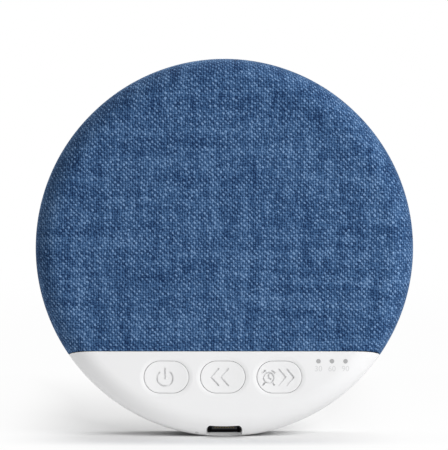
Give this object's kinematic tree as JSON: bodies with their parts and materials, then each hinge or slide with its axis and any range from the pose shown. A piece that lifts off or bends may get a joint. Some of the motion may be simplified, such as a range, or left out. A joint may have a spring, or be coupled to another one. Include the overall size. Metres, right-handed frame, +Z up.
{
  "type": "pillow speaker",
  "caption": "Flat round bedside speaker standing on its rim, with a blue woven cloth front, a white chin with press keys and timer lights, and a charging port in its edge.",
  "frame": {"origin": "on the floor under the rim flat, midway between the back ring and the front face", "axes": "+Z up the face away from the rim flat, -Y out of the cloth front, +X to the right seen from the front"},
  "size_m": [0.1, 0.0206, 0.0998],
  "materials": {
    "white_plastic": "fine satin moulding",
    "key_plastic": "fine satin moulding",
    "blue_cloth": "blue twill weave with light and dark yarns",
    "panel_plastic": "dark moulding",
    "soft_ring": "matt silicone",
    "screw_steel": "zinc plated",
    "socket_steel": "black nickel",
    "contact_metal": "gold plated",
    "black_plastic": "black moulding",
    "dome_steel": "spring steel",
    "board_laminate": "green solder mask",
    "light_clear": "milky light guide",
    "light_chip": "pale chip",
    "chip_black": "moulded chip",
    "part_ceramic": "brown ceramic",
    "cell_foil": "laminated foil pouch",
    "foam_tape": "closed foam",
    "foam_dark": "closed foam",
    "guard_film": "amber film",
    "wire_red": "wire jacket",
    "wire_black": "wire jacket",
    "plug_nylon": "natural nylon",
    "terminal_board": "brown laminate",
    "basket_steel": "black coat",
    "yoke_steel": "zinc plated",
    "magnet_metal": "nickel plated",
    "cone_pulp": "pressed pulp",
    "coil_copper": "enamelled copper",
    "former_film": "amber film",
    "surround_rubber": "soft rubber",
    "spider_cloth": "resin dipped cloth"
  },
  "bodies": {
    "body": {"rear_housing": "white_plastic", "grip_ring": "soft_ring", "case_screws": "screw_steel", "chin_cover": "white_plastic", "grille_panel": "panel_plastic", "cloth_cover": "blue_cloth", "power_dome": "dome_steel", "back_dome": "dome_steel", "forward_dome": "dome_steel", "switch_bodies": "black_plastic", "main_board": "board_laminate", "board_screws": "screw_steel", "usb_riser": "black_plastic", "usb_shell": "socket_steel", "usb_tongue": "black_plastic", "usb_contacts": "contact_metal", "timer_leds": "light_chip", "light_guide": "light_clear", "charge_led": "light_chip", "charge_pin": "light_clear", "radio_chip": "chip_black", "amp_chip": "chip_black", "charge_chip": "chip_black", "crystal": "magnet_metal", "choke": "chip_black", "small_parts": "part_ceramic", "battery_cell": "cell_foil", "battery_tape": "foam_tape", "cell_guard": "guard_film", "battery_leads": "wire_red", "battery_plug": "plug_nylon", "battery_socket": "plug_nylon", "speaker_terminal": "terminal_board", "speaker_leads": "wire_black", "speaker_plug": "plug_nylon", "speaker_socket": "plug_nylon", "driver_basket": "basket_steel", "driver_yoke": "yoke_steel", "driver_magnet": "magnet_metal", "pole_plate": "yoke_steel", "driver_gasket": "foam_dark", "magnet_pad": "foam_dark", "surround": "surround_rubber", "spider": "spider_cloth"},
    "power_key": {"power_button": "key_plastic", "power_plunger": "black_plastic"},
    "back_key": {"back_button": "key_plastic", "back_plunger": "black_plastic"},
    "forward_key": {"forward_button": "key_plastic", "forward_plunger": "black_plastic"},
    "cone": {"speaker_cone": "cone_pulp", "dust_cap": "cone_pulp", "coil_former": "former_film", "voice_coil": "coil_copper"}
  },
  "joints": [
    {"name": "power_button_press", "type": "slide", "parent": "body", "child": "power_key", "axis": [0, 1, 0], "range_m": [0, 0.0005], "stiffness_N_per_m": 1200, "deforming": ["power_dome"]},
    {"name": "back_button_press", "type": "slide", "parent": "body", "child": "back_key", "axis": [0, 1, 0], "range_m": [0, 0.0005], "stiffness_N_per_m": 1200, "deforming": ["back_dome"]},
    {"name": "forward_button_press", "type": "slide", "parent": "body", "child": "forward_key", "axis": [0, 1, 0], "range_m": [0, 0.0005], "stiffness_N_per_m": 1200, "deforming": ["forward_dome"]},
    {"name": "cone_travel", "type": "slide", "parent": "body", "child": "cone", "axis": [0, -1, 0], "range_m": [-0.0008, 0.0008], "stiffness_N_per_m": 900, "deforming": ["surround", "spider"]}
  ]
}
